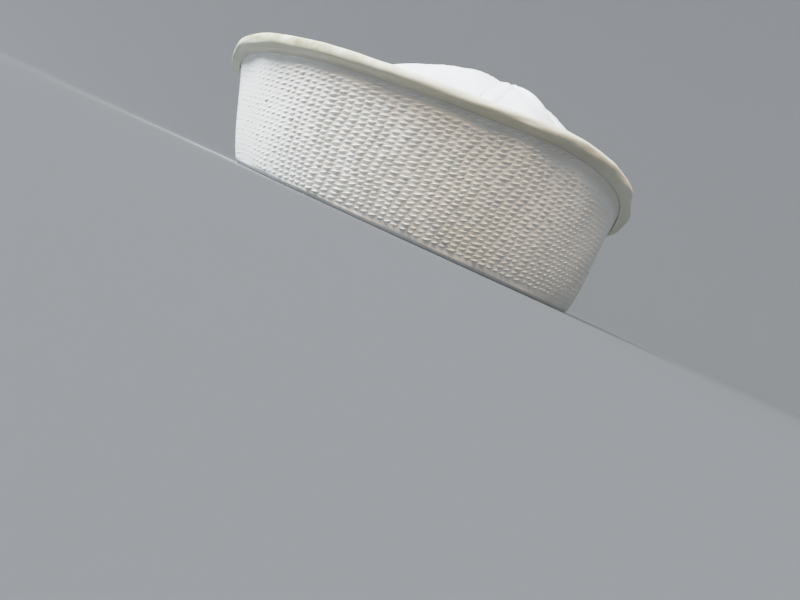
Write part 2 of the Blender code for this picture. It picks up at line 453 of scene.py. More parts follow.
# Spots for each metre: patches of wear are about 36 mm wide, blots of soil 11 mm, fibres 0.4 mm.
WEAR_SPOTS = 28.0
SOIL_SPOTS = 90.0
FIBRE_SPOTS = 2500.0
COTTON_IOR = 1.53
# A Mix node has sockets for each kind of value. For colours it uses these.
FACTOR, COLOUR_A, COLOUR_B, MIXED = 0, 6, 7, 2


def linear(hex_colour):
    """An sRGB hex colour as linear red, green, blue and a full alpha."""
    parts = [int(hex_colour[k : k + 2], 16) / 255 for k in (1, 3, 5)]
    return (*[p / 12.92 if p <= 0.04045 else ((p + 0.055) / 1.055) ** 2.4 for p in parts], 1.0)


def node(tree, kind, inputs=None, **settings):
    """Adds a node: settings are its options, inputs are plain values or the outputs that feed it."""
    made = tree.nodes.new(kind)
    for key, value in settings.items():
        setattr(made, key, value)
    for key, value in (inputs or {}).items():
        if isinstance(value, bpy.types.NodeSocket):
            tree.links.new(value, made.inputs[key])
        else:
            made.inputs[key].default_value = value
    return made


# %% The twill recipe
def bleached_twill(name, clean, worn, painted_shade=None, soil=None, rib_depth=0.00003, fuzz_depth=0.00002):
    """Woven cotton. Worn shows in patches, soil where the cap is handled, painted shade in the low spots.
    """
    look = bpy.data.materials.new(name)
    look.use_nodes = True
    tree = look.node_tree
    shader = tree.nodes["Principled BSDF"]
    place = node(tree, "ShaderNodeTexCoord").outputs["Object"]
    weave = node(tree, "ShaderNodeUVMap", uv_map="weave").outputs["UV"]

    turn = 2 * math.pi / TWILL_RIB
    across_ribs = (turn, turn / TWILL_SLOPE, 0)
    rib_at = node(tree, "ShaderNodeVectorMath", {0: weave, 1: across_ribs}, operation="DOT_PRODUCT")
    rib = node(tree, "ShaderNodeMath", {0: rib_at.outputs["Value"]}, operation="SINE").outputs[0]
    yarns = {"Vector": place, "Scale": 1 / THREAD_STEP, "Detail": 3.0, "Roughness": 0.6}
    fuzz = node(tree, "ShaderNodeTexNoise", yarns).outputs["Fac"]
    patches = {"Vector": place, "Scale": WEAR_SPOTS, "Detail": 4.0, "Roughness": 0.6}
    patches = node(tree, "ShaderNodeTexNoise", patches).outputs["Fac"]
    wear = node(tree, "ShaderNodeMapRange", {"Value": patches, "From Min": 0.42, "From Max": 0.72})

    mix = {FACTOR: wear.outputs[0], COLOUR_A: linear(clean), COLOUR_B: linear(worn)}
    colour = node(tree, "ShaderNodeMix", mix, data_type="RGBA").outputs[MIXED]
    # Painted shade: where the depth mark is high, the colour greys as if shade fell there.
    if painted_shade:
        depth = node(tree, "ShaderNodeAttribute", attribute_name="depth").outputs["Fac"]
        low = {"Value": depth, "From Min": 0.10, "From Max": 1.0, "To Max": 0.5}
        low = node(tree, "ShaderNodeMapRange", low).outputs[0]
        mix = {FACTOR: low, COLOUR_A: colour, COLOUR_B: linear(painted_shade)}
        colour = node(tree, "ShaderNodeMix", mix, data_type="RGBA").outputs[MIXED]
    if soil:
        handled = node(tree, "ShaderNodeAttribute", attribute_name="handled").outputs["Fac"]
        blots = {"Vector": place, "Scale": SOIL_SPOTS, "Detail": 6.0, "Roughness": 0.7}
        blots = node(tree, "ShaderNodeTexNoise", blots).outputs["Fac"]
        blot = node(tree, "ShaderNodeMapRange", {"Value": blots, "From Min": 0.30, "From Max": 0.60})
        amount = node(tree, "ShaderNodeMath", {0: handled, 1: blot.outputs[0]}, operation="MULTIPLY")
        mix = {FACTOR: amount.outputs[0], COLOUR_A: colour, COLOUR_B: linear(soil)}
        colour = node(tree, "ShaderNodeMix", mix, data_type="RGBA").outputs[MIXED]
    tree.links.new(colour, shader.inputs["Base Color"])

    rough = node(tree, "ShaderNodeMapRange", {"Value": fuzz, "To Min": 0.78, "To Max": 0.98})
    tree.links.new(rough.outputs[0], shader.inputs["Roughness"])
    ribs = node(tree, "ShaderNodeBump", {"Height": rib, "Distance": rib_depth, "Strength": 1.0})
    fuzzed = {"Height": fuzz, "Distance": fuzz_depth, "Normal": ribs.outputs[0]}
    tree.links.new(node(tree, "ShaderNodeBump", fuzzed).outputs[0], shader.inputs["Normal"])
    shader.inputs["IOR"].default_value = COTTON_IOR
    shader.inputs["Specular IOR Level"].default_value = 0.25
    shader.inputs["Sheen Weight"].default_value = 0.12
    shader.inputs["Sheen Roughness"].default_value = 0.5
    return look


def cotton_thread(name, colour, shade):
    """Spun thread: brighter and a little smoother than the cloth, with its twist as fine bump."""
    look = bpy.data.materials.new(name)
    look.use_nodes = True
    tree = look.node_tree
    shader = tree.nodes["Principled BSDF"]
    place = node(tree, "ShaderNodeTexCoord").outputs["Object"]
    fibres = {"Vector": place, "Scale": FIBRE_SPOTS, "Detail": 2.0}
    fibres = node(tree, "ShaderNodeTexNoise", fibres).outputs["Fac"]
    mix = {FACTOR: fibres, COLOUR_A: linear(colour), COLOUR_B: linear(shade)}
    mixed = node(tree, "ShaderNodeMix", mix, data_type="RGBA")
    tree.links.new(mixed.outputs[MIXED], shader.inputs["Base Color"])
    bump = node(tree, "ShaderNodeBump", {"Height": fibres, "Distance": 0.00003})
    tree.links.new(bump.outputs[0], shader.inputs["Normal"])
    shader.inputs["Roughness"].default_value = 0.7
    shader.inputs["IOR"].default_value = COTTON_IOR
    shader.inputs["Specular IOR Level"].default_value = 0.3
    return look


# The third colour of these three looks is painted shade: it greys the low spots and the cloth under the
# roll.
band_look = bleached_twill("quilted twill", "#ecedea", "#e3e3da", painted_shade="#bcb8a6")
facing_look = bleached_twill("facing twill", "#e6e9e7", "#dcdcd4", painted_shade="#b9b9ae")
rolled_look = bleached_twill("rolled edge twill", "#dfe0d2", "#d3d3bf", painted_shade="#9a957f", soil="#868450")
# The crown's bluer white is painted light: it stands for the cool key light falling on the top.
crown_look = bleached_twill("crown twill", "#e2ebf4", "#d8e0e7", rib_depth=0.00002)
thread_look = cotton_thread("sewing thread", "#f1f3f0", "#dcddd6")

# %% [markdown]
# The outer cloth of the brim
#
# It starts as the turned-in edge under the head opening, rounds the fold that the cap stands on, and
# climbs to the roll. Only its outer face needs many rows, four or five for each row of stitching, so
# that the pillows are real relief and not only shading. The back face, which nothing shows, has a few.
#
# Each point also carries a mark of painted shade for the finish: in the valleys between the pillows,
# and in the last 9 mm of cloth below the roll, where it thins out over 6 mm and to the brow.

# %% Build the stitched band
BAND_ROUND = 740
ROWS_UP_BAND = 120
FOLD_ROWS = 5
BACK_ROWS = 5
# The strip of painted shade under the roll: its height, its fade, and where it starts from the brow.
SHADED_STRIP = 0.009
STRIP_SHADE_FADE = 0.006
STRIP_SHADE_FROM_DEG = 35
STRIP_SHADE_EASE_DEG = 45

around = even_columns(BAND_ROUND)[:-1]
fold_turn = np.radians(np.linspace(0, 90, FOLD_ROWS, endpoint=False))[:, None]
flange = [ring_point(around, out, 0.0) for out in (0.0, (STACK - FOLD_RADIUS) / 2)]
fold_out = STACK - FOLD_RADIUS * (1 - np.sin(fold_turn))
fold = ring_point(around, fold_out, FOLD_RADIUS * (1 - np.cos(fold_turn)))
share_up = np.linspace(0, 1, ROWS_UP_BAND)[:, None]
height = FOLD_RADIUS + (band_top(around) - FOLD_RADIUS) * share_up
up = height / lean_cos(around)
relief = quilt_relief(around, up) * smooth(share_up * RELIEF_START)
face = band_point(around, height, relief)
back_share = np.linspace(1, 0, BACK_ROWS)[:, None]
back_height = CLOTH + (band_top(around) - CLOTH) * back_share
back = band_point(around, back_height, -CLOTH)
lid = ring_point(around, 0.0, CLOTH)[None]
band_points = np.concatenate((np.array(flange), fold, face, back, lid))

# Painted shade: depth greys the pillow valleys and the strip under the roll, where shade falls.
depth = np.zeros(band_points.shape[:2])
pulled_in = -pillow_relief(around, up) / (ROW_RELIEF + SLANT_RELIEF)
under_roll = smooth((up - cloth_top(around) + SHADED_STRIP) / STRIP_SHADE_FADE)
under_roll = under_roll * smooth((folded(around) - STRIP_SHADE_FROM_DEG) / STRIP_SHADE_EASE_DEG)
depth[len(flange) + FOLD_ROWS :][:ROWS_UP_BAND] = np.clip(np.maximum(pulled_in, under_roll), 0, 1)
stitched_band = swept_cloth("stitched_band", band_points, depth=depth)
put_on(stitched_band, "stitched_twill", band_look, "brim_outer_ply")

# %% [markdown]
# The stitches themselves
#
# The thread is thick and white, and each stitch is a short raised dash. It comes up out of one hole,
# lies slightly aslant, as a lockstitch does, and dives into the next. All stitches of a face are one
# mesh: the same small tube, bent along a few points of its own. No two lie quite alike: each is shifted
# a little along its row, and lies a little more or less aslant.

# %% Tubes for stitches, and where they run
STITCH_SHIFT = 0.06
STITCH_TURN = 0.35
# A stitch is this share of its full thickness at its ends, and swells by the rest in its middle.
STITCH_END = 0.55
STITCH_SWELL = 0.45


def stitch_tubes(name, middles, outward, radius, sides):
    """One closed tube for each stitch, along its points, thinner at the ends."""
    count, beads = middles.shape[:2]
    ahead_of = np.gradient(middles, axis=1)
    beside = np.cross(ahead_of, outward)
    beside /= np.linalg.norm(beside, axis=2, keepdims=True)
    over = np.cross(beside, ahead_of)
    over /= np.linalg.norm(over, axis=2, keepdims=True)
    swell = STITCH_END + STITCH_SWELL * np.sin(np.pi * np.linspace(0, 1, beads))
    thick = radius * swell[None, :, None, None]
    turn = (2 * np.pi * np.arange(sides) / sides)[None, None, :, None]
    sideways = np.cos(turn) * beside[:, :, None]
    rings = middles[:, :, None] + thick * (sideways + np.sin(turn) * over[:, :, None])
    index = np.arange(count * beads * sides).reshape(count, beads, sides)
    low, high = index[:, :-1], index[:, 1:]
    quads = np.stack((low, np.roll(low, -1, 2), np.roll(high, -1, 2), high), -1).reshape(-1, 4)
    points = rings.reshape(-1, 3)
    # The first tube shows whether the faces point inward, and then all of them are turned.
    a, b, c = (points[quads[: (beads - 1) * sides, k]] for k in range(3))
    centre = points[: beads * sides].mean(0)
    flipped = np.einsum("ij,ij->i", a - centre, np.cross(b - a, c - a)).sum() < 0
    quads = quads[:, ::-1] if flipped else quads
    caps = [index[:, 0, ::-1], index[:, -1]]
    caps = [cap[:, ::-1] for cap in caps] if flipped else caps
    return link_mesh(name, points, quads.tolist() + caps[0].tolist() + caps[1].tolist())


def stitch_points(row_up, beads, begin, slant, draw):
    """Azimuth and distance up along each stitch, for a row at row_up(azimuth). No two lie quite alike."""
    wide = np.linspace(-20, 380, 3201)
    at = wide_phase(wide, row_up)
    first = math.ceil(np.interp(0, wide, at))
    share = np.linspace(begin, 1 - begin, beads)
    shifted = draw.normal(0, STITCH_SHIFT, (STITCHES_ROUND, 1))
    turned = draw.normal(1, STITCH_TURN, (STITCHES_ROUND, 1))
    wanted = first + np.arange(STITCHES_ROUND)[:, None] + shifted + share[None]
    azimuth = np.interp(wanted, at, wide)
    return azimuth, row_up(azimuth) + slant * turned * (share - 0.5)[None], share


def wide_phase(azimuth, row_up):
    """The stitch phase, carried on past the full turn so that it never jumps back."""
    turned = azimuth % 360
    return stitch_phase(turned, row_up(azimuth)) + STITCHES_ROUND * np.floor(azimuth / 360)


# %% Sew the band
THREAD_RADIUS = 0.00036
THREAD_SLANT = 0.00100
THREAD_SINK = 0.00045
THREAD_RISE = 0.00045
THREAD_UNEVEN = 0.00006
SINGLE_PROUD = 0.00030
BROW_SINK = 0.00030
STITCH_HIDDEN = 0.06
ARCH_EASE = 0.35
THREAD_SEED = 61
ROWS_COUNTED_AT = 120.0
LOOK_OFF = 0.001


def row_line(row):
    """How far up the cloth a row of stitching lies."""

    def row_up(azimuth):
        plain = first_row(azimuth) + row * ROW_SPACING
        return plain - ROW_SPACING * row_wander(azimuth, plain)

    return row_up


def single_line(azimuth):
    return cloth_top(azimuth) - SINGLE_ROW


def sewn_rows(beads, outside):
    """The middle points and outward directions of every stitch on one face of the band."""
    middles, outward = [], []
    draw = np.random.default_rng(THREAD_SEED)
    tallest = cloth_top(np.array([ROWS_COUNTED_AT]))[0]
    rows = int((tallest - FIRST_ROW_BACK) / ROW_SPACING) + 1
    for row_up in [row_line(row) for row in range(rows)] + [single_line]:
        azimuth, up_cloth, share = stitch_points(row_up, beads, STITCH_HIDDEN, THREAD_SLANT, draw)
        middle_up = up_cloth[:, beads // 2]
        middle_at = azimuth[:, beads // 2]
        kept = middle_up < cloth_top(middle_at) - plain_strip(middle_at)
        if row_up is single_line:
            kept = np.ones(len(kept), bool)
        azimuth, up_cloth = azimuth[kept] % 360, up_cloth[kept]
        arch = -THREAD_SINK + THREAD_RISE * np.sin(np.pi * share) ** ARCH_EASE
        pulled = draw.normal(0, THREAD_UNEVEN, (len(azimuth), 1))
        proud = SINGLE_PROUD if row_up is single_line else 0.0
        lift = quilt_relief(azimuth, up_cloth) + arch + pulled + proud
        lift = lift - BROW_SINK * (1 - off_brow(azimuth))
        if not outside:
            lift = -FACING_DEPTH - lift
        high = up_cloth * lean_cos(azimuth)
        points = band_point(azimuth, high, lift)
        off_face = band_point(azimuth, high, lift + (LOOK_OFF if outside else -LOOK_OFF)) - points
        middles.append(points)
        outward.append(off_face)
    return np.concatenate(middles), np.concatenate(outward)


band_thread = stitch_tubes("band_thread", *sewn_rows(5, True), THREAD_RADIUS, 5)
put_on(band_thread, "stitched_twill", thread_look)

# %% [markdown]
# The facing
#
# The inner cloth of the brim faces the crown. The same rows come through it, so it takes the same
# relief, mirrored, painted shade in its valleys, and the bobbin side of the same stitches.

# %% Build the facing and its stitches
FACING_ROUND = 520
ROWS_UP_FACING = 88
CROWN_FOOT = CLOTH + GAP

around = even_columns(FACING_ROUND)[:-1]
share_up = np.linspace(0, 1, ROWS_UP_FACING)[:, None]
lean = np.radians(brim_value("lean_deg", around))


def face_heights(share, deep):
    """Heights from the crown's foot to the top, which is cut square to the lean."""
    top = band_top(around) + deep * np.sin(lean)
    return CROWN_FOOT + (top - CROWN_FOOT) * share


inner_up = face_heights(share_up, FACING_DEPTH) / lean_cos(around)
relief = quilt_relief(around, inner_up) * smooth(share_up * RELIEF_START)
inner_face = band_point(around, face_heights(share_up, 0.0), -FACING_DEPTH - relief)
outer_face = band_point(around, face_heights(np.linspace(1, 0, BACK_ROWS)[:, None], 0.0), -CLOTH - GAP)
# Painted shade: depth greys the facing's pillow valleys, where shade falls.
depth = np.zeros((ROWS_UP_FACING + BACK_ROWS, FACING_ROUND))
depth[:ROWS_UP_FACING] = np.clip(-pillow_relief(around, inner_up) / (ROW_RELIEF + SLANT_RELIEF), 0, 1)
brim_facing = swept_cloth("brim_facing", np.concatenate((inner_face, outer_face)), depth=depth)
put_on(brim_facing, "facing_twill", facing_look, "brim_inner_ply")
facing_thread = stitch_tubes("facing_thread", *sewn_rows(4, False), THREAD_RADIUS, 4)
put_on(facing_thread, "facing_twill", thread_look)

# %% [markdown]
# The rolled edge
#
# Above the last row the brim's cloth is turned over on itself and left unstitched, so it stands up as a
# soft hollow roll. Along the sides the cloth runs on flat for about 5 mm first, so the roll is slimmer
# there. At the brow it is fuller and hooks over. It hangs outward all round, which throws the dark shade
# under it. Near the brow hands have left two thin creases and a dent, and the top is yellowed where it
# is taken hold of.

# %% Build the rolled edge
ROLL_ROUND = 640
ROLL_SLIT_DEG = 8
ROLL_DROOP = 1.25
HANGING_DROOP = 0.75
SIDE_SLIMMING = 0.28
BACK_CREST = 0.0038
BROW_SAG = 0.0056
SAG_SPREAD_DEG = 20
ROLL_LAP = 0.0012
LAP_TURN = 0.6
ROLL_SINK = 0.0003
HAIR = 0.0001
ROLL_OUTSIDE = 60
ROLL_INSIDE = 10


def roll_wall(azimuth, turn_deg, within):
    """Points of the roll's section, turning from its outer foot over the top to its inner foot."""
    tilt = np.radians(brim_value("lean_deg", azimuth))
    crest_up = BACK_CREST * towards_back(azimuth)
    crest_up = crest_up - BROW_SAG * np.exp(-((folded(azimuth) / SAG_SPREAD_DEG) ** 2))
    half_height = (ROLL_HEIGHT * brim_value("roll", azimuth) + crest_up - roll_rise(azimuth)) / 2
    slim = 1 - SIDE_SLIMMING * (1 - drooped(azimuth))
    half_depth = ROLL_DEPTH * brim_value("depth", azimuth) / 2 * slim
    outset = ROLL_DEPTH * brim_value("outset", azimuth) * slim
    turn = np.radians(turn_deg)
    outside = turn < np.pi
    # The feet lap down over the band, and the outer one starts inside it, so no edge shows there.
    lap = ROLL_LAP * (1 - smooth((np.pi - abs(turn - np.pi)) / LAP_TURN)) if within == 0 else 0.0
    climb = GAP + half_height - (half_height - within) * np.cos(turn) - lap
    outer_foot = -ROLL_SINK + (ROLL_SINK + HAIR) * smooth((climb + ROLL_LAP) / ROLL_LAP)
    foot = np.where(outside, outer_foot, -FACING_DEPTH - HAIR) + np.where(outside, -1, 1) * within
    # Going up, the section leans out, and along the sides it is fullest above its middle.
    hang = foot + (outset - foot) * smooth(climb / half_height)
    fullest_up = ROLL_DROOP - (ROLL_DROOP - HANGING_DROOP) * drooped(azimuth)
    share = ((1 - np.cos(turn)) / 2) ** np.where(outside, fullest_up, 1.0)
    away = hang + (half_depth - within) * np.where(outside, 2, -2) * np.sqrt(share * (1 - share))
    top = band_top(azimuth)
    out = band_out(azimuth, top) + climb * np.sin(tilt) + away * np.cos(tilt)
    return ring_point(azimuth, out, top + climb * np.cos(tilt) - away * np.sin(tilt))


def square_off(points):
    """Directions square to a grid that is closed round the cap, on its left going up its rows."""
    along = np.roll(points, -1, 1) - np.roll(points, 1, 1)
    upward = np.gradient(points, axis=0)
    normal = np.cross(along, upward)
    return normal / np.linalg.norm(normal, axis=2, keepdims=True)


# %% Give it puckers, creases and a dent
PUCKER = 0.00010
SOFT_WAVE = 0.00016
SLUMP = 0.00060
SMALL_WAVE = 0.00006
# The waves want a climb in metres: the section's turn in degrees over this is about that size.
TURN_TO_CLIMB = 10000
CREASE = 0.00045
CREASE_SLOPE = 0.25
THUMB_DENT = -0.0014
END_EASE_DEG = 25
# Each of these forms has a middle and a spread in degrees. TURN is counted round the roll's section
# from its outer foot, and BROW is counted round the cap from the brow.
PUCKER_TURN, PUCKER_TURN_SPREAD = 30, 22
SLUMP_TURN, SLUMP_TURN_SPREAD = 105, 40
CREASE_TURNS, CREASE_TURN_SPREAD = (20, 38), 6
CREASE_BROW, CREASE_BROW_SPREAD = 38, 10
THUMB_TURN, THUMB_TURN_SPREAD = 72, 30
THUMB_BROW, THUMB_BROW_SPREAD = 13, 6


def hump(value, middle, spread):
    """1 at the middle, and down to about a third at the spread on each side."""
    return np.exp(-(((value - middle) / spread) ** 2))


around = even_columns(ROLL_ROUND)[:-1]
turn_deg = np.linspace(ROLL_SLIT_DEG, 360 - ROLL_SLIT_DEG, ROLL_OUTSIDE)[:, None]
wall = roll_wall(around, turn_deg, 0.0)
normal = square_off(wall)
inward = roll_wall(around, turn_deg, ROLL_CLOTH) - wall
normal = normal if (normal * inward).sum() < 0 else -normal
near_foot = hump(turn_deg, PUCKER_TURN, PUCKER_TURN_SPREAD)
holes = 2 * np.pi * STITCHES_ROUND * np.interp(around, fine, travelled / ROUND_LENGTH)
puckers = PUCKER * near_foot * np.cos(holes)
climbed = turn_deg / TURN_TO_CLIMB
soft = SOFT_WAVE * uneven(around, climbed, 21, (3, 14), 20)
fullest = hump(turn_deg, SLUMP_TURN, SLUMP_TURN_SPREAD)
slump = SLUMP * fullest * uneven(around, climbed, 23, (8, 26), 25)
small = SMALL_WAVE * uneven(around, climbed, 22, (24, 60), 40)
ease = smooth((turn_deg - ROLL_SLIT_DEG) / END_EASE_DEG)
ease = ease * smooth((360 - ROLL_SLIT_DEG - turn_deg) / END_EASE_DEG)
from_brow = (around + 180) % 360 - 180
creases = 0.0
for at in CREASE_TURNS:
    line = hump(turn_deg, at + CREASE_SLOPE * from_brow, CREASE_TURN_SPREAD)
    creases = creases + CREASE * line * hump(from_brow, CREASE_BROW, CREASE_BROW_SPREAD)
thumbed = THUMB_DENT * hump(from_brow, THUMB_BROW, THUMB_BROW_SPREAD)
thumbed = thumbed * hump(turn_deg, THUMB_TURN, THUMB_TURN_SPREAD)
wall = wall + normal * (puckers + creases + thumbed + (soft + small + slump) * ease)[..., None]
inside_turn = np.linspace(360 - ROLL_SLIT_DEG, ROLL_SLIT_DEG, ROLL_INSIDE)[:, None]
inside = roll_wall(around, inside_turn, ROLL_CLOTH)
print("columns round the roll:", wall.shape[1], "and points round its section:", len(wall) + len(inside))

# %% [markdown]
# Soil and painted shade on the roll
#
# Two more marks go on the roll's points. One says where hands take hold: on its top, most of all from
# the brow to before the ears, and least at the back. The other is painted shade: the further a point
# lies under the roll, the greyer the cloth is painted. Behind the ears that painted shade thins out.

# %% Mark the roll and put it on
# Soil is full up to the first place from the brow, less along the sides and least at the back.
CREST_TURN, CREST_TURN_SPREAD = 124, 44
SOIL_ALONG_SIDES = 0.36
SOIL_LOST_AT_BACK = 0.24
SIDES_FROM_DEG, SIDES_EASE_DEG = 78, 30
BACK_FROM_DEG, BACK_EASE_DEG = 120, 40
SHADE_TO_TURN, SHADE_EASE_TURN = 118, 60
SHADE_LOST_AT_BACK = 0.85
SHADE_BACK_DEG, SHADE_BACK_EASE_DEG = 122, 26

crest = np.exp(-(((turn_deg - CREST_TURN) / CREST_TURN_SPREAD) ** 4))
near_brow = smooth((SIDES_FROM_DEG - folded(around)) / SIDES_EASE_DEG)
at_back = smooth((folded(around) - BACK_FROM_DEG) / BACK_EASE_DEG)
by_place = SOIL_ALONG_SIDES + (1 - SOIL_ALONG_SIDES) * near_brow - SOIL_LOST_AT_BACK * at_back
handled = np.zeros((ROLL_OUTSIDE + ROLL_INSIDE, ROLL_ROUND))
handled[:ROLL_OUTSIDE] = crest * by_place
# Painted shade: depth greys the roll's underside, where shade falls, less behind the ears.
depth = np.zeros_like(handled)
thinned = 1 - SHADE_LOST_AT_BACK * smooth((folded(around) - SHADE_BACK_DEG) / SHADE_BACK_EASE_DEG)
depth[:ROLL_OUTSIDE] = smooth((SHADE_TO_TURN - turn_deg) / SHADE_EASE_TURN) * thinned
rolled_edge = swept_cloth("rolled_edge", np.concatenate((wall, inside)), handled=handled, depth=depth)
put_on(rolled_edge, "rolled_twill", rolled_look, "brim_rolled_edge")

# %% [markdown]
# The crown
#
# Six pointed panels make the dome. Cloth pulled over a head has no flat spots: each panel puffs out
# between its seams, and the dome leans back and is gently dented. The seams are flat-felled, which
# means that one allowance is folded over the other and sewn down twice, so on one side of each seam
# lies a raised strip with two rows of stitches, and the cloth puckers along it.

# %% The dome, its seams and its dents
CROWN_HEIGHT = 0.101
CROWN_LEAN_BACK = 0.0165
LEAN_EASE = 1.5
GORE_PUFF = 0.0028
PUFF_EASE = 0.6
GORES = 6
GORE_TURN = 360 / GORES
FIRST_SEAM_DEG = 26
DENT_COLUMNS = ("azimuth_deg", "height", "spread", "depth")
DENT_ROWS = (
    (50, 0.86, 0.12, 0.016),
    (118, 0.72, 0.15, 0.016),
    (232, 0.84, 0.17, 0.022),
    (300, 0.76, 0.20, 0.026),
)
FELL_WIDTH = 0.0068
FELL_LIFT = 0.00055
FELL_EDGE = 0.0009
SEAM_ROWS_AT = (0.0014, 0.0056)
SEAM_PULL = 0.00022
SEAM_PULL_WIDTH = 0.0006
SEAM_PUCKER = 0.00022
PUCKER_STEP = 0.0062
PUCKER_SHAKE = 2.2
PUCKER_REACH_FELLED = 0.007
PUCKER_REACH_PLAIN = 0.004
CROWN_SOFT = 0.0013
# A seam's length from foot to tip, and how much wider a full panel is than the straight line across.
SEAM_LENGTH = 0.150
FULL_WIDTH = 1.05


def dome(azimuth, climb):
    """The crown's inner face before puffs and dents. Climb is 0 at the foot, 1 at the tip."""
    angle = np.radians(azimuth)
    slope = climb * np.pi / 2
    rise = CROWN_HEIGHT - CLOTH - CROWN_FOOT
    back = OPENING_X + CROWN_LEAN_BACK * np.sin(slope) ** LEAN_EASE
    x = back - HEAD_LENGTH / 2 * np.cos(slope) * np.cos(angle)
    y = -HEAD_WIDTH / 2 * np.cos(slope) * np.sin(angle)
    return np.stack(np.broadcast_arrays(x, y, CROWN_FOOT + rise * np.sin(slope)), -1)


def dome_normal(azimuth, climb):
    step = 0.001
    held = np.clip(climb, 4 * step, 1 - 4 * step)
    sideways = dome(azimuth + step * 90, held) - dome(azimuth - step * 90, held)
    upward = dome(azimuth, held + step) - dome(azimuth, held - step)
    normal = np.cross(upward, sideways)
    normal /= np.linalg.norm(normal, axis=-1, keepdims=True)
    middle = np.array((OPENING_X, 0.0, 0.0))
    facing_out = np.sign(((dome(azimuth, held) - middle) * normal).sum(-1, keepdims=True))
    return normal * facing_out


def dent_depth(points):
    total = 0.0
    for row in DENT_ROWS:
        dent = dict(zip(DENT_COLUMNS, row))
        middle = dome(dent["azimuth_deg"], math.asin(dent["height"]) * 2 / math.pi)
        away = np.linalg.norm(points - middle, axis=-1) / (dent["spread"] * CROWN_HEIGHT)
        total = total + dent["depth"] * CROWN_HEIGHT * np.exp(-away * away)
    return total


def seam_width(climb, first):
    """How wide a panel is at this climb, along its outer face."""
    ends = dome(first + GORE_TURN, climb) - dome(first, climb)
    return np.linalg.norm(ends, axis=-1) * FULL_WIDTH


def panel_point(gore, climb, across, lift=0.0):
    """Points on a panel's outer face. Across is 0 at its felled seam and 1 at the next one."""
    first = FIRST_SEAM_DEG + gore * GORE_TURN
    azimuth = first + across * GORE_TURN
    width = seam_width(climb, first)
    from_seam = across * width
    to_next = (1 - across) * width
    fullness = np.sin(2 * np.clip(climb, 0, 1) * np.pi / 2) ** PUFF_EASE
    puff = GORE_PUFF * fullness * np.sin(np.pi * across)
    felled = FELL_LIFT * (1 - smooth((from_seam - FELL_WIDTH) / FELL_EDGE))
    sewn = sum(np.exp(-(((from_seam - at) / SEAM_PULL_WIDTH) ** 2)) for at in SEAM_ROWS_AT)
    climbed = climb * SEAM_LENGTH
    shaken = uneven(azimuth * 3, climbed, 31 + gore, (1, 3), 30)
    pucker = np.sin(2 * np.pi * climbed / PUCKER_STEP + PUCKER_SHAKE * shaken)
    near_seam = np.exp(-from_seam / PUCKER_REACH_FELLED) + np.exp(-to_next / PUCKER_REACH_PLAIN)
    pucker = SEAM_PUCKER * pucker * near_seam
    soft = CROWN_SOFT * fullness * uneven(azimuth, climbed, 41, (4, 14), 22)
    base = dome(azimuth, climb)
    normal = dome_normal(azimuth, climb)
    total = puff - dent_depth(base) + CLOTH + felled - SEAM_PULL * sewn + pucker
    total = total + soft * np.sin(np.pi * across)
    return base + normal * (total + lift)[..., None]


# %% Build the six panels
PANEL_ROWS = 60
STRIP_COLUMNS = 16
REST_COLUMNS = 28
STRIP_REACH = 0.0090
MOST_STRIP = 0.45
TIP_CLIMB = 0.998
# Panels keep this share of their width clear of the seam line on each side.
SEAM_CLEAR = 0.0005

climbs = TIP_CLIMB * np.linspace(0, 1, PANEL_ROWS + 1)[:, None]


def panel_mesh(gore):
    """Both faces of one panel, joined along its edges."""
    width = seam_width(climbs, FIRST_SEAM_DEG + gore * GORE_TURN)
    strip = np.minimum(STRIP_REACH / width, MOST_STRIP)
    fine_columns = strip * np.linspace(0, 1, STRIP_COLUMNS)
    rest_columns = strip + (1 - strip) * np.linspace(0, 1, REST_COLUMNS + 1)[1:]
    columns = np.concatenate((fine_columns, rest_columns), 1)
    climb = np.broadcast_to(climbs, columns.shape)
    held = SEAM_CLEAR + (1 - 2 * SEAM_CLEAR) * columns
    outer = panel_point(gore, climb, held)
    azimuth = FIRST_SEAM_DEG + (gore + held) * GORE_TURN
    inner = outer - dome_normal(azimuth, climb) * CLOTH
    rows, wide = columns.shape
    index = np.arange(rows * wide).reshape(rows, wide)
    quads = [np.stack((index[:-1, :-1], index[:-1, 1:], index[1:, 1:], index[1:, :-1]), -1).reshape(-1, 4)]
    quads.append(quads[0][:, ::-1] + index.size)
    rim = np.concatenate((index[0, :-1], index[:-1, -1], index[-1, :0:-1], index[:0:-1, 0]))
    after = np.roll(rim, -1)
    quads.append(np.stack((rim, rim + index.size, after + index.size, after), -1))
    points = np.concatenate((outer.reshape(-1, 3), inner.reshape(-1, 3)))
    quads = outward_quads(points - points.mean(0), np.concatenate(quads))
    woven = np.stack((held * width, climb * SEAM_LENGTH), -1).reshape(-1, 2)
    return link_mesh(f"crown_panel_{gore + 1}", points, quads, np.concatenate((woven, woven)))


for gore in range(GORES):
    put_on(panel_mesh(gore), "crown_twill", crown_look, f"crown_gore_{gore + 1}")

# %% Sew the crown's seams
SEAM_STITCH = 0.0030
SEAM_STITCHES = 46
SEAM_BEADS = 5
SEAM_HIDDEN = 0.08
SEAM_SINK = 0.00012
SEAM_RISE = 0.00026
SEAM_ARCH_EASE = 0.6
SEAM_THREAD_RADIUS = 0.00018
# Near the tip the panels are too narrow: a row stops where it would lie past this share of the width.
SEAM_ROW_LIMIT = 0.40


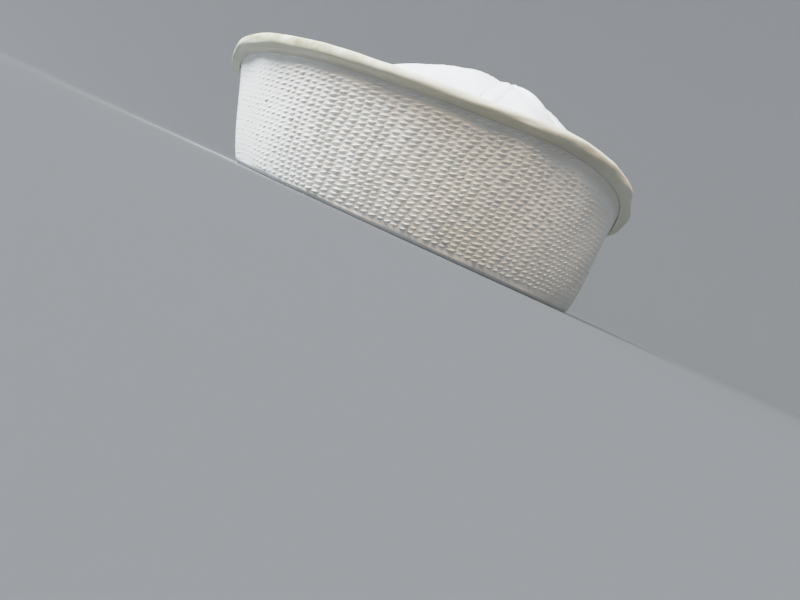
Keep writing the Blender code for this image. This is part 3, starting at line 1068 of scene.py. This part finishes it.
def seam_stitches():
    """The middle points and outward directions of the stitches along all felled seams."""
    middles, outward = [], []
    share = np.linspace(SEAM_HIDDEN, 1 - SEAM_HIDDEN, SEAM_BEADS)
    arch = -SEAM_SINK + SEAM_RISE * np.sin(np.pi * share) ** SEAM_ARCH_EASE
    climb = (np.arange(SEAM_STITCHES)[:, None] + 0.5 + share[None]) * SEAM_STITCH / SEAM_LENGTH
    for gore in range(GORES):
        width = seam_width(climb, FIRST_SEAM_DEG + gore * GORE_TURN)
        for at in SEAM_ROWS_AT:
            kept = (at / width < SEAM_ROW_LIMIT).all(1)
            across = at / width[kept]
            bent = np.broadcast_to(arch, across.shape)
            points = panel_point(gore, climb[kept], across, bent)
            lifted = panel_point(gore, climb[kept], across, bent + LOOK_OFF)
            middles.append(points)
            outward.append(lifted - points)
    return np.concatenate(middles), np.concatenate(outward)


seam_thread = stitch_tubes("crown_seam_thread", *seam_stitches(), SEAM_THREAD_RADIUS, 5)
put_on(seam_thread, "crown_twill", thread_look)

# %% [markdown]
# A plain pale studio
#
# The floor is a wide shallow bowl: flat under the cap and rising softly all round, so no edge or corner
# shows from any side. A soft cool key light stands in front of the brow, about 47 degrees up, as in the
# picture. A weaker warm lamp fills from the camera's side, and an even sky lifts the shade. Both lamps
# leave the floor out, and it has a weak lamp of its own, so that the shade under the roll stays deep.

# %% The floor
FLOOR_FLAT = 0.66
FLOOR_CURVE = 0.90
FLOOR_WALL = 2.4
FLOOR_SIDES = 96
CURVE_STEPS = 15

bowl = [(radius, 0.0) for radius in (0.2, 0.4, FLOOR_FLAT)]
for turn in np.radians(np.linspace(6, 90, CURVE_STEPS)):
    bowl.append((FLOOR_FLAT + FLOOR_CURVE * math.sin(turn), FLOOR_CURVE * (1 - math.cos(turn))))
bowl.append((FLOOR_FLAT + FLOOR_CURVE, FLOOR_WALL))
spokes = np.radians(np.arange(FLOOR_SIDES) * 360 / FLOOR_SIDES)
bowl_points = [(r * math.cos(a), r * math.sin(a), z) for r, z in bowl for a in spokes]
bowl_faces = [list(range(FLOOR_SIDES))]
for ring in range(len(bowl) - 1):
    here = ring * FLOOR_SIDES
    next_ring = here + FLOOR_SIDES
    for k in range(FLOOR_SIDES):
        after = (k + 1) % FLOOR_SIDES
        bowl_faces.append([here + k, next_ring + k, next_ring + after, here + after])
floor = link_mesh("floor", np.array(bowl_points), bowl_faces)
floor_look = bpy.data.materials.new("floor paper")
floor_look.use_nodes = True
paper = floor_look.node_tree.nodes["Principled BSDF"]
paper.inputs["Base Color"].default_value = linear("#d4d9e1")
paper.inputs["Roughness"].default_value = 0.95
paper.inputs["Specular IOR Level"].default_value = 0.0
floor.data.materials.append(floor_look)


# %% Lights and sky
def area_light(name, at, aim, size, power, colour):
    """A square soft lamp of this size in metres and power in watts, turned towards a point."""
    data = bpy.data.lights.new(name, "AREA")
    data.size = size
    data.energy = power
    data.color = linear(colour)[:3]
    lamp = bpy.data.objects.new(name, data)
    lamp.location = at
    lamp.rotation_mode = "QUATERNION"
    lamp.rotation_quaternion = (Vector(aim) - Vector(at)).to_track_quat("-Z", "Y")
    bpy.context.scene.collection.objects.link(lamp)
    return lamp


def light_only(lamp, name, keep_floor):
    """Lets a lamp light the floor alone, or everything but the floor."""
    chosen = bpy.data.collections.new(name)
    chosen.objects.link(floor)
    chosen.collection_objects[0].light_linking.link_state = "INCLUDE" if keep_floor else "EXCLUDE"
    lamp.light_linking.receiver_collection = chosen


KEY_FROM = Vector((-0.62, -0.28, 0.73))
MIDDLE = (0, 0, 0.04)

key = area_light("key", KEY_FROM * 1.35, MIDDLE, 0.42, 118, "#eaf6ff")
light_only(key, "all but the floor", False)
floor_key = area_light("floor_key", KEY_FROM * 1.6, (0, 0, 0), 0.90, 8, "#eef4ff")
light_only(floor_key, "the floor alone", True)
fill = area_light("fill", (-0.30, -0.82, 1.10), MIDDLE, 0.46, 37, "#ffe0ba")
light_only(fill, "also not the floor", False)
world = bpy.data.worlds.new("sky")
world.use_nodes = True
sky = world.node_tree.nodes["Background"]
sky.inputs["Color"].default_value = linear("#ebe1cd")
sky.inputs["Strength"].default_value = 0.74
bpy.context.scene.world = world
print("lamps:", ", ".join(lamp.name for lamp in (key, floor_key, fill)))
